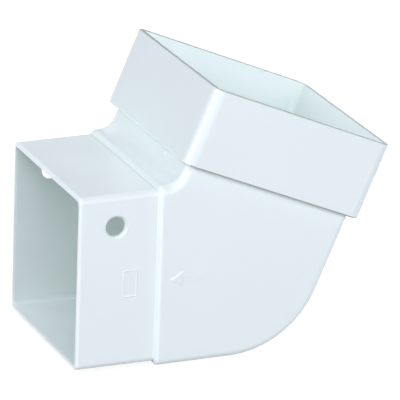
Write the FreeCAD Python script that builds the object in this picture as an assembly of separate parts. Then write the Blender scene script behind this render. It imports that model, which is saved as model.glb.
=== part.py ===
import FreeCAD, Part
import math
import os

# Square downspout elbow, moulded in one piece.
# The spigot points along -X and slips inside the pipe below. The sloping upper leg ends in a collar,
# the socket that the pipe above stands in. The elbow rests on the flat underside of its lower leg.
# Millimetres, +Z up, mirror plane at y = 0, origin below the middle of the elbow, on the resting plane.

# The square downpipe that the elbow joins
pipe_size = 65.0
pipe_wall = 1.2

# The moulding's wall, even all over but for the spigot, which thins towards its mouth
wall = 2.0

# Spigot: its root fits inside the pipe, and towards its mouth the outside narrows and the bore widens
spigot_length = 28.5
spigot_clearance = 0.1
spigot_draft = 0.1
bore_draft = 0.5
spigot_corner = 2.1
mouth_round = 0.7

# Bend: short flats lie between the throat's arc and the shoulder's wall, and between the arc and the collar
bend_angle = 67.5
upper_leg_swell = 1.0
heel_radius = 34.5
throat_radius = 6.0
shoulder_flat = 0.83
collar_flat = 4.18
heel_corner = 2.3
throat_corner = 3.0
shoulder_round = 1.6

# Collar: the socket for the pipe above, with a ledge inside that stops the pipe
collar_length = 27.9
socket_clearance = 1.4
collar_corner = 4.0
collar_round = 0.6
rim_round = 0.4

# Inside corners of the waterway
bore_corner = 1.5

# Fixing holes: one through each side of the spigot, on one line, countersunk from outside
hole_diameter = 7.0
countersink_diameter = 8.5
hole_from_mouth = 13.3
hole_above_axis = 19.7

# Cuts run this far past the face that they open
cut_margin = 2.0
match_tolerance = 0.001
right_angle = 90.0


def corner_offset(lower_depth, upper_depth):
    """How far beyond the meeting point of the axes the outer faces of two legs cross, measured along X."""
    return (upper_depth - lower_depth * math.cos(turn)) / (2 * math.sin(turn))


def arc_reach(radius):
    """Distance from a corner of the bend to the ends of the arc that rounds it."""
    return radius * math.tan(turn / 2)


# Sizes that follow from the ones above; both runs are measured from the point where the axes meet
turn = math.radians(bend_angle)
body_size = pipe_size
upper_leg_depth = body_size + upper_leg_swell
throat_offset = corner_offset(body_size, upper_leg_depth)
throat_rise = body_size / 2 * math.sin(turn) - throat_offset * math.cos(turn)
lower_run = throat_offset + arc_reach(throat_radius) + shoulder_flat + wall
upper_run = throat_rise + arc_reach(throat_radius) + collar_flat
spigot_root_size = pipe_size - 2 * pipe_wall - 2 * spigot_clearance
spigot_mouth_size = spigot_root_size - 2 * spigot_draft
spigot_bore_size = spigot_root_size - 2 * wall
socket_size = pipe_size + 2 * socket_clearance
collar_size = socket_size + 2 * wall
spigot_run = spigot_length + wall
mouth_x = -lower_run - spigot_length
ledge_run = upper_run + wall

origin = FreeCAD.Vector(0, 0, 0)
x_axis = FreeCAD.Vector(1, 0, 0)
y_axis = FreeCAD.Vector(0, 1, 0)
z_axis = FreeCAD.Vector(0, 0, 1)
upper_axis = FreeCAD.Vector(math.cos(turn), 0, math.sin(turn))
heel_axis = FreeCAD.Vector(math.sin(turn), 0, -math.cos(turn))


def edge_middle(edge):
    """Point half-way along an edge."""
    return edge.valueAt((edge.FirstParameter + edge.LastParameter) / 2)


def edges_beside(solid, path):
    """Edges of an extruded side profile that repeat the given profile edges on both flanks."""
    found = []
    for edge in solid.Edges:
        middle = edge_middle(edge)
        for line in path:
            target = edge_middle(line)
            if math.hypot(middle.x - target.x, middle.z - target.z) < match_tolerance:
                found.append(edge)
    return found


def edges_in_plane(solid, point, normal):
    """Edges of a solid that lie wholly in one plane."""
    found = []
    for edge in solid.Edges:
        offsets = [abs((vertex.Point - point).dot(normal)) for vertex in edge.Vertexes]
        if max(offsets) < match_tolerance:
            found.append(edge)
    return found


def edges_along(solid, direction, length):
    """Straight edges that span the given length in the given direction."""
    found = []
    for edge in solid.Edges:
        span = edge.Vertexes[-1].Point - edge.Vertexes[0].Point
        if abs(abs(span.dot(direction)) - length) < match_tolerance:
            found.append(edge)
    return found


def bend_arc(corner, radius):
    """Arc tangent to both legs that rounds a corner of the side profile."""
    lower_end = corner - x_axis * arc_reach(radius)
    upper_end = corner + upper_axis * arc_reach(radius)
    centre = lower_end + z_axis * radius
    half_way = x_axis * math.sin(turn / 2) - z_axis * math.cos(turn / 2)
    return Part.Arc(lower_end, centre + half_way * radius, upper_end).toShape()


def bent_bar(start_x, end_run, width, lower_depth, upper_depth, radii, corners):
    """Bar that bends from the lower leg into the upper one, with its four long edges rounded.

    radii and corners each give the heel's value and then the throat's.
    """
    heel_point = x_axis * corner_offset(lower_depth, upper_depth) - z_axis * (lower_depth / 2)
    throat_point = heel_point * -1
    heel_arc = bend_arc(heel_point, radii[0])
    throat_arc = bend_arc(throat_point, radii[1])
    bottom_start = x_axis * start_x - z_axis * (lower_depth / 2)
    top_start = x_axis * start_x + z_axis * (lower_depth / 2)
    heel_end = upper_axis * end_run + heel_axis * (upper_depth / 2)
    throat_end = upper_axis * end_run - heel_axis * (upper_depth / 2)

    heel_path = [
        Part.makeLine(bottom_start, heel_arc.Vertexes[0].Point),
        heel_arc,
        Part.makeLine(heel_arc.Vertexes[-1].Point, heel_end),
    ]
    throat_path = [
        Part.makeLine(throat_end, throat_arc.Vertexes[-1].Point),
        throat_arc,
        Part.makeLine(throat_arc.Vertexes[0].Point, top_start),
    ]
    far_end = Part.makeLine(heel_end, throat_end)
    near_end = Part.makeLine(top_start, bottom_start)
    profile = Part.Face(Part.Wire(Part.__sortEdges__(heel_path + [far_end] + throat_path + [near_end])))
    bar = profile.extrude(y_axis * width)
    bar.translate(y_axis * (-width / 2))
    bar = bar.makeFillet(corners[0], edges_beside(bar, heel_path))
    return bar.makeFillet(corners[1], edges_beside(bar, throat_path))


def square_bar(size, length, corner):
    """Upright square bar on the plane z = 0, with its four long edges rounded."""
    bar = Part.makeBox(size, size, length, FreeCAD.Vector(-size / 2, -size / 2, 0))
    return bar.makeFillet(corner, edges_along(bar, z_axis, length))


def tapered_bar(root_x, root_size, end_x, end_size, corner):
    """Square bar along the spigot's axis whose size changes evenly, with its four long edges rounded."""
    root = root_size / 2
    end = end_size / 2
    length = root_x - end_x
    bar = Part.makeWedge(-root, 0, -root, -end, -end, root, length, root, end, end)
    bar = bar.makeFillet(corner, edges_along(bar, y_axis, length))
    bar.rotate(origin, z_axis, right_angle)
    bar.translate(x_axis * root_x)
    return bar


def stand_on_upper_axis(solid, run):
    """Tilts an upright solid onto the upper axis and moves it out along that axis."""
    solid.rotate(origin, y_axis, right_angle - bend_angle)
    solid.translate(upper_axis * run)
    return solid


def make_body():
    """Lower leg, bend and upper leg as one solid bar, with a rounded shoulder that stops the pipe below."""
    radii = (heel_radius, throat_radius)
    corners = (heel_corner, throat_corner)
    body = bent_bar(-lower_run, ledge_run, body_size, body_size, upper_leg_depth, radii, corners)
    shoulder = edges_in_plane(body, x_axis * -lower_run, x_axis)
    return body.makeFillet(shoulder_round, shoulder)


def make_spigot():
    """Solid spigot that narrows from its root, one wall behind the shoulder, to its mouth."""
    spigot = tapered_bar(wall - lower_run, spigot_root_size, mouth_x, spigot_mouth_size, spigot_corner)
    return spigot.makeFillet(mouth_round, edges_in_plane(spigot, x_axis * mouth_x, x_axis))


def make_collar():
    """Solid collar with rounded corners and softened edges at its underside and its rim."""
    collar = square_bar(collar_size, collar_length, collar_corner)
    collar = collar.makeFillet(collar_round, edges_in_plane(collar, origin, z_axis))
    collar = collar.makeFillet(rim_round, edges_in_plane(collar, z_axis * collar_length, z_axis))
    return stand_on_upper_axis(collar, upper_run)


def make_spigot_bore():
    """Passage through the spigot that widens from behind the shoulder's wall out past the mouth."""
    end_x = mouth_x - cut_margin
    end_size = spigot_bore_size + 2 * bore_draft * (spigot_run + cut_margin) / spigot_run
    return tapered_bar(wall - lower_run, spigot_bore_size, end_x, end_size, bore_corner)


def make_waterway():
    """Passage through both legs and the bend, one wall inside the body all round."""
    lower_depth = body_size - 2 * wall
    upper_depth = upper_leg_depth - 2 * wall
    radii = (heel_radius - wall, throat_radius + wall)
    corners = (bore_corner, bore_corner)
    end_run = ledge_run + cut_margin
    return bent_bar(wall - lower_run, end_run, lower_depth, lower_depth, upper_depth, radii, corners)


def make_socket():
    """Room inside the collar for the pipe above, from the ledge out past the rim."""
    depth = collar_length - wall + cut_margin
    socket = square_bar(socket_size, depth, collar_corner - wall)
    return stand_on_upper_axis(socket, ledge_run)


def make_fixing_holes():
    """One drill through both sides of the spigot, with a countersink at each outer face."""
    hole_x = mouth_x + hole_from_mouth
    centre = x_axis * hole_x + z_axis * hole_above_axis
    face_y = spigot_mouth_size / 2 + spigot_draft * hole_from_mouth / spigot_run
    hole_radius = hole_diameter / 2
    sink_depth = (countersink_diameter - hole_diameter) / 2
    drill_length = spigot_root_size + 2 * cut_margin
    drill = Part.makeCylinder(hole_radius, drill_length, centre - y_axis * (drill_length / 2), y_axis)
    tools = [drill]
    for side in (-1, 1):
        tip = centre + y_axis * (side * (face_y - sink_depth))
        sink_length = sink_depth + cut_margin
        tools.append(Part.makeCone(hole_radius, hole_radius + sink_length, sink_length, tip, y_axis * side))
    return tools


def make_elbow():
    """Whole elbow in its working frame, with the origin where the two axes meet."""
    elbow = make_body().fuse([make_spigot(), make_collar()])
    elbow = elbow.cut([make_spigot_bore(), make_waterway(), make_socket()] + make_fixing_holes())
    return elbow.removeSplitter()


def main():
    elbow = make_elbow()
    box = elbow.optimalBoundingBox(False, False)
    elbow.translate(FreeCAD.Vector(-box.Center.x, -box.Center.y, -box.ZMin))
    solid = elbow.Solids[0]
    os.makedirs("parts", exist_ok=True)
    solid.exportStep("parts/downspout_elbow.step")
    print("solids", len(elbow.Solids), "valid", solid.isValid(), "volume", round(solid.Volume, 1))
    print("box", solid.optimalBoundingBox(False, False))
    print("centre of mass", solid.CenterOfMass)


main()
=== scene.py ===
import math

import bpy
from mathutils import Matrix, Vector


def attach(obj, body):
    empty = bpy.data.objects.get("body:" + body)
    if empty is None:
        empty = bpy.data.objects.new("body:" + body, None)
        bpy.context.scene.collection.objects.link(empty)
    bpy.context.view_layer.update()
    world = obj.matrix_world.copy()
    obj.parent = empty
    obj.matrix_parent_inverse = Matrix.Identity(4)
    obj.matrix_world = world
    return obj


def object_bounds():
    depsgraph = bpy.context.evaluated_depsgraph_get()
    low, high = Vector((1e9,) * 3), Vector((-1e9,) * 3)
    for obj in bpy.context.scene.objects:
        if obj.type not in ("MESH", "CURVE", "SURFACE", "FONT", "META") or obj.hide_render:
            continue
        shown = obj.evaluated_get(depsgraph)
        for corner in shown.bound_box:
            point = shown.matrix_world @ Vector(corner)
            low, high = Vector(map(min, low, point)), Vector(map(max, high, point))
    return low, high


# Looks of the square downspout elbow: glossy white moulded plastic in a plain white studio.
# Everything is in metres, in the frame of the solids: the spigot's mouth faces -X, +Z is up.

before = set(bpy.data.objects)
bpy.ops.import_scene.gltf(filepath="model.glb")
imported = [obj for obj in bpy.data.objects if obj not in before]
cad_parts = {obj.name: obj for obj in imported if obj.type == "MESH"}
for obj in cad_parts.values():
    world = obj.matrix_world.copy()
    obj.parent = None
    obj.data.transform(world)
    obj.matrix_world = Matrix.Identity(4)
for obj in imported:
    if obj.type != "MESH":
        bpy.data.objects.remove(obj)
solids_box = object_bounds()
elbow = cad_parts["downspout_elbow"]
scene = bpy.context.scene

# Camera, as the photograph was taken: a long lens from the front left, a little above, slightly rolled
image_width = 400
focal_length_pixels = 4083.1
sensor_width = 36.0
camera_azimuth = math.radians(-23.893)
camera_elevation = math.radians(20.132)
camera_roll = math.radians(2.134)
camera_distance = 1.40118
camera_target = Vector((-0.00541, -0.01471, 0.05210))
camera_near = 0.01
camera_far = 100

# Directions: the three axes, and along the upper leg towards its rim
bend_angle = math.radians(67.5)
x_axis = Vector((1, 0, 0))
y_axis = Vector((0, 1, 0))
z_axis = Vector((0, 0, 1))
upper_axis = Vector((math.cos(bend_angle), 0, math.sin(bend_angle)))

# Plastic: faintly cloudy white with a moulded gloss, a painted highlight along some edges and painted shade
# along others
plastic_pale = (0.782, 0.871, 0.837, 1)
plastic_deep = (0.768, 0.859, 0.823, 1)
painted_highlight = (0.837, 0.932, 0.896, 1)
painted_step_shade = (0.69, 0.768, 0.739, 1)
painted_rim_shade = (0.52, 0.575, 0.55, 1)
painted_foot_shade = (0.34, 0.38, 0.36, 1)
plastic_ior = 1.53
gloss_roughness = 0.20
dull_roughness = 0.26

# Noise in the plastic: lumps per metre and octaves of detail. A span is the part of it that is stretched.
cloud_noise = (26, 1)
cloud_span = (0.25, 0.75)
gloss_noise = (60, 1)
gloss_span = (0.3, 0.7)
wave_noise = (22, 0)
wave_depth = 0.0003
peel_noise = (420, 0)
peel_depth = 0.000004

# Collar: painted shade darkens its rim, and its rounded lower edge along the two flanks
rim_run = max(vertex.co.dot(upper_axis) for vertex in elbow.data.vertices)
rim_fade = 0.0003
collar_length = 0.0279
collar_half_width = solids_box[1][1]
collar_round = 0.0006
foot_fade = 0.00018
flank_fade = 0.00006

# Spigot, up to the step at the body's shoulder. Its draft runs on by one wall, into the body, and its half
# width is the one under the bare frame.
mouth_x = solids_box[0][0]
mouth_round = 0.0007
wall = 0.002
spigot_length = 0.0285
spigot_draft = 0.0001
spigot_half_width = 0.03116
spigot_taper = math.atan(spigot_draft / (spigot_length + wall))
shoulder_x = mouth_x + spigot_length
body_half_width = 0.0325

# Painted light on the spigot: a painted highlight makes its mouth and the step's two flanks paler, and a
# fine grey line of painted shade runs along the step's top. The flanks start at step_side, and the line
# fades out downwards from step_high to step_low.
edge_fade = 0.0004
ridge_width = 0.0011
step_line = 0.0007
step_side = 0.0305
step_low = 0.0625
step_high = 0.0630

# Marks raised by the mould, each with a sloping edge and a foot sunk into the wall
mark_height = 0.00018
shaft_height = 0.00005
mark_edge = 0.00030
mark_sunk = 0.00010

# Flow arrow: x and z of its tip, and the head's and the shaft's reach from there and half width
arrow_tip = (-0.0235, 0.0313)
arrow_head = (0.0049, 0.0028)
arrow_shaft = (0.0139, 0.0013)

# Bare frame: x and z of its middle, its width and height, its rib and its cut corners
bare_middle = (-0.0375, 0.0313)
bare_size = (0.0056, 0.0100)
bare_rib = 0.0007
bare_corner = 0.0005

# Round gate mark
gate_middle = Vector((-0.01895, -0.0136, 0.07003))
gate_radius = 0.0011
gate_sides = 32

# Studio: a floor and a dark card
floor_reach = 1.3
floor_drop = 0.0002
floor_glow = 0.88
floor_faint = 0.2
floor_grey = 0.35
card_azimuth = math.radians(85)
card_radius = 1.0
card_height = 0.75
card_steps = 24
card_grey = 0.02

# Softboxes on all sides: azimuth and elevation in degrees, side, radiance and whether it leaves glare.
# The low fill light and the lamps behind the dark card leave none.
softbox_aim = Vector((0, 0, 0.05))
softbox_distance = 1.6
softbox_colour = (0.915, 0.905, 1.0)
softboxes = {
    "left": (-75, 30, 1.3, 3.50, True),
    "front": (-15, 30, 0.7, 6.20, True),
    "low_front": (15, 12, 0.7, 7.69, False),
    "low_right": (105, 12, 0.7, 9.94, False),
    "back": (165, 30, 0.7, 11.05, False),
    "back_left": (-135, 30, 0.7, 4.11, False),
}


def direction(azimuth, elevation):
    """Unit vector from the elbow towards a place; azimuth 0 is straight in front of the near side."""
    level = math.cos(elevation)
    return Vector((math.sin(azimuth) * level, -math.cos(azimuth) * level, math.sin(elevation)))


def grey(level):
    """Opaque grey, from 0 for black to 1 for white."""
    return (level, level, level, 1)


def add_camera():
    """Makes the scene's camera on its line of sight to the target."""
    back = direction(camera_azimuth, camera_elevation)
    right = Vector((math.cos(camera_azimuth), math.sin(camera_azimuth), 0))
    up = back.cross(right)
    rolled_right = right * math.cos(camera_roll) + up * math.sin(camera_roll)
    rolled_up = back.cross(rolled_right)
    data = bpy.data.cameras.new("photo_camera")
    data.sensor_width = sensor_width
    data.lens = focal_length_pixels * sensor_width / image_width
    data.clip_start = camera_near
    data.clip_end = camera_far
    camera = bpy.data.objects.new("photo_camera", data)
    turn = Matrix((rolled_right, rolled_up, back)).transposed()
    camera.matrix_world = Matrix.Translation(camera_target + back * camera_distance) @ turn.to_4x4()
    scene.collection.objects.link(camera)
    scene.camera = camera


def new_material(name):
    """Empty node material, with its tree and output."""
    material = bpy.data.materials.new(name)
    material.use_nodes = True
    tree = material.node_tree
    tree.nodes.clear()
    output = tree.nodes.new("ShaderNodeOutputMaterial")
    return material, tree, output


def add_noise(tree, place, scale, detail):
    """Noise over the part's own coordinates; scale is in lumps per metre."""
    noise = tree.nodes.new("ShaderNodeTexNoise")
    noise.inputs["Scale"].default_value = scale
    noise.inputs["Detail"].default_value = detail
    tree.links.new(place, noise.inputs["Vector"])
    return noise.outputs["Fac"]


def add_range(tree, value, low, high, to_low, to_high):
    """Stretches the part of a value between low and high to another range, and clamps the rest."""
    stretch = tree.nodes.new("ShaderNodeMapRange")
    stretch.inputs["From Min"].default_value = low
    stretch.inputs["From Max"].default_value = high
    stretch.inputs["To Min"].default_value = to_low
    stretch.inputs["To Max"].default_value = to_high
    tree.links.new(value, stretch.inputs["Value"])
    return stretch.outputs["Result"]


def add_math(tree, operation, first, second=None):
    """Result of a calculation on one or two values."""
    node = tree.nodes.new("ShaderNodeMath")
    node.operation = operation
    tree.links.new(first, node.inputs[0])
    if second:
        tree.links.new(second, node.inputs[1])
    return node.outputs[0]


def add_band(tree, value, start, end):
    """1 where a value lies between start and end, fading to 0 beside them."""
    rise = add_range(tree, value, start - edge_fade, start, 0, 1)
    fall = add_range(tree, value, end, end + edge_fade, 1, 0)
    return add_math(tree, "MULTIPLY", rise, fall)


def add_upper_run(tree, place):
    """How far a point lies along the upper leg."""
    run = tree.nodes.new("ShaderNodeVectorMath")
    run.operation = "DOT_PRODUCT"
    run.inputs[1].default_value = upper_axis
    tree.links.new(place, run.inputs[0])
    return run.outputs["Value"]


def add_tint(tree, amount, colour, tint):
    """Moves a colour, fixed or from a node, towards a tint by an amount from 0 to 1."""
    mix = tree.nodes.new("ShaderNodeMix")
    mix.data_type = "RGBA"
    tree.links.new(amount, mix.inputs["Factor"])
    if isinstance(colour, tuple):
        mix.inputs["A"].default_value = colour
    else:
        tree.links.new(colour, mix.inputs["A"])
    mix.inputs["B"].default_value = tint
    return mix.outputs["Result"]


def add_bump(tree, height, distance, normal=None):
    """Bump of the given depth in metres, over an earlier one where there is one."""
    bump = tree.nodes.new("ShaderNodeBump")
    bump.inputs["Distance"].default_value = distance
    tree.links.new(height, bump.inputs["Height"])
    if normal:
        tree.links.new(normal, bump.inputs["Normal"])
    return bump.outputs["Normal"]


def plastic_colour(tree, place):
    """Faintly cloudy white; painted highlight at the mouth and step flanks, painted shade at step top, rim
    and collar foot.
    """
    axes = tree.nodes.new("ShaderNodeSeparateXYZ")
    tree.links.new(place, axes.inputs["Vector"])
    lengthwise = axes.outputs["X"]
    sideways = add_math(tree, "ABSOLUTE", axes.outputs["Y"])
    run = add_upper_run(tree, place)

    # Painted highlight: paler along the mouth's edge and on the step's two flanks
    mouth_end = mouth_x + mouth_round
    mouth = add_range(tree, lengthwise, mouth_end, mouth_end + edge_fade, 1, 0)
    ridge = add_band(tree, lengthwise, shoulder_x, shoulder_x + ridge_width)
    step_flank = add_range(tree, sideways, step_side, spigot_half_width, 0, 1)
    edge = add_math(tree, "MAXIMUM", mouth, add_math(tree, "MULTIPLY", ridge, step_flank))

    # Painted shade: a fine grey line along the step's top
    line = add_band(tree, lengthwise, shoulder_x - step_line, shoulder_x - edge_fade)
    top = add_range(tree, axes.outputs["Z"], step_low, step_high, 0, 1)
    step = add_math(tree, "MULTIPLY", line, top)

    # Painted shade along the rim
    rim = add_range(tree, run, rim_run - rim_fade, rim_run, 0, 1)

    # Painted shade along the collar's rounded lower edge, on the two flanks only
    underside_end = rim_run - collar_length + collar_round
    underside = add_range(tree, run, underside_end - foot_fade, underside_end, 1, 0)
    flank_start = collar_half_width - collar_round
    collar_flank = add_range(tree, sideways, flank_start, flank_start + flank_fade, 0, 1)
    foot = add_math(tree, "MULTIPLY", underside, collar_flank)

    clouds = add_range(tree, add_noise(tree, place, *cloud_noise), *cloud_span, 0, 1)
    colour = add_tint(tree, clouds, plastic_pale, plastic_deep)
    for amount, tint in ((edge, painted_highlight), (step, painted_step_shade), (rim, painted_rim_shade), (foot, painted_foot_shade)):
        colour = add_tint(tree, amount, colour, tint)
    return colour


def plastic_material():
    """Glossy white moulded plastic with slow waves, a fine orange peel and a slightly uneven gloss."""
    material, tree, output = new_material("white_plastic")
    place = tree.nodes.new("ShaderNodeTexCoord").outputs["Object"]
    waves = add_bump(tree, add_noise(tree, place, *wave_noise), wave_depth)
    normal = add_bump(tree, add_noise(tree, place, *peel_noise), peel_depth, waves)
    gloss = add_noise(tree, place, *gloss_noise)
    roughness = add_range(tree, gloss, *gloss_span, gloss_roughness, dull_roughness)

    shader = tree.nodes.new("ShaderNodeBsdfPrincipled")
    shader.inputs["IOR"].default_value = plastic_ior
    tree.links.new(plastic_colour(tree, place), shader.inputs["Base Color"])
    tree.links.new(roughness, shader.inputs["Roughness"])
    tree.links.new(normal, shader.inputs["Normal"])
    tree.links.new(shader.outputs["BSDF"], output.inputs["Surface"])
    return material


def add_mesh(name, points, faces, material):
    """New mesh object in the scene."""
    mesh = bpy.data.meshes.new(name)
    mesh.from_pydata(points, [], faces)
    mesh.materials.append(material)
    piece = bpy.data.objects.new(name, mesh)
    scene.collection.objects.link(piece)
    return piece


def inset_outline(outline, inset):
    """Outline with every side moved inwards by the same amount; its points run anticlockwise."""
    moved = []
    for index, point in enumerate(outline):
        before = Vector(point) - Vector(outline[index - 1])
        after = Vector(outline[(index + 1) % len(outline)]) - Vector(point)
        first = Vector((-before.y, before.x)).normalized()
        second = Vector((-after.y, after.x)).normalized()
        moved.append(Vector(point) + (first + second) * (inset / (1 + first.dot(second))))
    return moved


def add_relief(name, middle, across, upwards, outline, steps, capped):
    """Raised mark on a flat face, with rings of points at the given insets and heights along its outline."""
    outwards = across.cross(upwards)
    count = len(outline)
    points = []
    for inset, height in steps:
        for point in inset_outline(outline, inset):
            points.append(middle + across * point.x + upwards * point.y + outwards * height)
    faces = []
    for ring in range(len(steps) - 1):
        for index in range(count):
            start = ring * count + index
            end = ring * count + (index + 1) % count
            faces.append((start, end, end + count, start + count))
    if capped:
        faces.append(tuple(range((len(steps) - 1) * count, len(steps) * count)))
    mark = add_mesh(name, points, faces, elbow.data.materials[0])
    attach(mark, "root")


def add_flow_arrow():
    """Arrow on the near side of the body that points the way the water runs, towards the spigot."""
    head_length, head_half = arrow_head
    shaft_length, shaft_half = arrow_shaft
    head = [(0, 0), (head_length, -head_half), (head_length, head_half)]
    shaft = [
        (head_length, -shaft_half),
        (shaft_length, -shaft_half),
        (shaft_length, shaft_half),
        (head_length, shaft_half),
    ]
    tip = x_axis * arrow_tip[0] - y_axis * body_half_width + z_axis * arrow_tip[1]
    for name, outline, height in (("arrow_head", head, mark_height), ("arrow_shaft", shaft, shaft_height)):
        steps = [(0, -mark_sunk), (0, 0), (mark_edge, height)]
        add_relief(name, tip, x_axis, z_axis, outline, steps, True)


def add_bare_frame():
    """Plain frame on the near side of the spigot, with cut corners."""
    half_width = bare_size[0] / 2
    half_height = bare_size[1] / 2
    cut_width = half_width - bare_corner
    cut_height = half_height - bare_corner
    outline = [
        (-cut_width, -half_height),
        (cut_width, -half_height),
        (half_width, -cut_height),
        (half_width, cut_height),
        (cut_width, half_height),
        (-cut_width, half_height),
        (-half_width, cut_height),
        (-half_width, -cut_height),
    ]
    middle = x_axis * bare_middle[0] - y_axis * spigot_half_width + z_axis * bare_middle[1]
    across = x_axis * math.cos(spigot_taper) - y_axis * math.sin(spigot_taper)
    steps = [(0, -mark_sunk), (0, 0), (bare_rib / 2, mark_height), (bare_rib, 0), (bare_rib, -mark_sunk)]
    add_relief("bare_frame", middle, across, z_axis, outline, steps, False)


def add_gate_mark():
    """Low round mark on the throat, between its arc and the collar, where the plastic flowed in."""
    angles = [2 * math.pi * side / gate_sides for side in range(gate_sides)]
    outline = [(gate_radius * math.cos(angle), gate_radius * math.sin(angle)) for angle in angles]
    steps = [(0, -mark_sunk), (0, 0), (mark_edge, mark_height)]
    add_relief("gate_mark", gate_middle, -y_axis, upper_axis, outline, steps, True)


def add_seen_by_eye(tree):
    """1 for what the camera sees, straight, in a reflection or through glass, and 0 for scattered light."""
    path = tree.nodes.new("ShaderNodeLightPath")
    seen = path.outputs["Is Camera Ray"]
    for name in ("Is Glossy Ray", "Is Transmission Ray"):
        seen = add_math(tree, "MAXIMUM", seen, path.outputs[name])
    return seen


def add_matt(tree, level):
    """Matt grey surface."""
    matt = tree.nodes.new("ShaderNodeBsdfDiffuse")
    matt.inputs["Color"].default_value = grey(level)
    return matt.outputs["BSDF"]


def floor_material():
    """Pale floor that looks white to the camera and in reflections, and keeps a faint shadow."""
    material, tree, output = new_material("pale_floor")
    glow = tree.nodes.new("ShaderNodeEmission")
    glow.inputs["Color"].default_value = grey(1)
    glow.inputs["Strength"].default_value = floor_glow
    white = tree.nodes.new("ShaderNodeAddShader")
    tree.links.new(glow.outputs["Emission"], white.inputs[0])
    tree.links.new(add_matt(tree, floor_faint), white.inputs[1])
    mix = tree.nodes.new("ShaderNodeMixShader")
    tree.links.new(add_seen_by_eye(tree), mix.inputs[0])
    tree.links.new(add_matt(tree, floor_grey), mix.inputs[1])
    tree.links.new(white.outputs[0], mix.inputs[2])
    tree.links.new(mix.outputs[0], output.inputs["Surface"])
    return material


def add_floor():
    """Square floor, just below the face that the elbow rests on."""
    reach = floor_reach
    corners = [(-reach, -reach, 0), (reach, -reach, 0), (reach, reach, 0), (-reach, reach, 0)]
    floor = add_mesh("floor", corners, [(0, 1, 2, 3)], floor_material())
    floor.location.z = -floor_drop


def add_dark_card():
    """Curved dark card behind the elbow. Only reflections see it, as thin grey lines along pale edges."""
    sweep = 2 * (math.pi - card_azimuth)
    points = []
    for step in range(card_steps + 1):
        foot = direction(card_azimuth + sweep * step / card_steps, 0) * card_radius
        points.append(foot)
        points.append(foot + z_axis * card_height)
    faces = [(2 * step, 2 * step + 2, 2 * step + 3, 2 * step + 1) for step in range(card_steps)]
    material, tree, output = new_material("dark_card")
    tree.links.new(add_matt(tree, card_grey), output.inputs["Surface"])
    card = add_mesh("dark_card", points, faces, material)
    card.visible_camera = False
    card.visible_diffuse = False
    card.visible_shadow = False


def add_world():
    """White surroundings for the camera and for reflections; the softboxes give all other light."""
    world = bpy.data.worlds.new("studio")
    scene.world = world
    world.use_nodes = True
    tree = world.node_tree
    tree.nodes.clear()
    output = tree.nodes.new("ShaderNodeOutputWorld")
    white = tree.nodes.new("ShaderNodeBackground")
    white.inputs["Color"].default_value = grey(1)
    tree.links.new(add_seen_by_eye(tree), white.inputs["Strength"])
    tree.links.new(white.outputs["Background"], output.inputs["Surface"])


def add_softbox(name, azimuth, elevation, side, radiance, glare):
    """Square area light, turned to the middle of the elbow. Without glare, no reflection shows it."""
    towards = direction(math.radians(azimuth), math.radians(elevation))
    data = bpy.data.lights.new(name, "AREA")
    data.color = softbox_colour
    data.shape = "SQUARE"
    data.size = side
    data.energy = radiance * math.pi * side ** 2
    lamp = bpy.data.objects.new(name, data)
    lamp.location = softbox_aim + towards * softbox_distance
    lamp.rotation_euler = towards.to_track_quat("Z", "Y").to_euler()
    lamp.visible_camera = False
    lamp.visible_glossy = glare
    scene.collection.objects.link(lamp)


add_camera()
elbow.data.materials.clear()
elbow.data.materials.append(plastic_material())
add_flow_arrow()
add_bare_frame()
add_gate_mark()
add_floor()
add_dark_card()
add_world()
for name, values in softboxes.items():
    add_softbox(name, *values)

scene.view_settings.view_transform = "Standard"
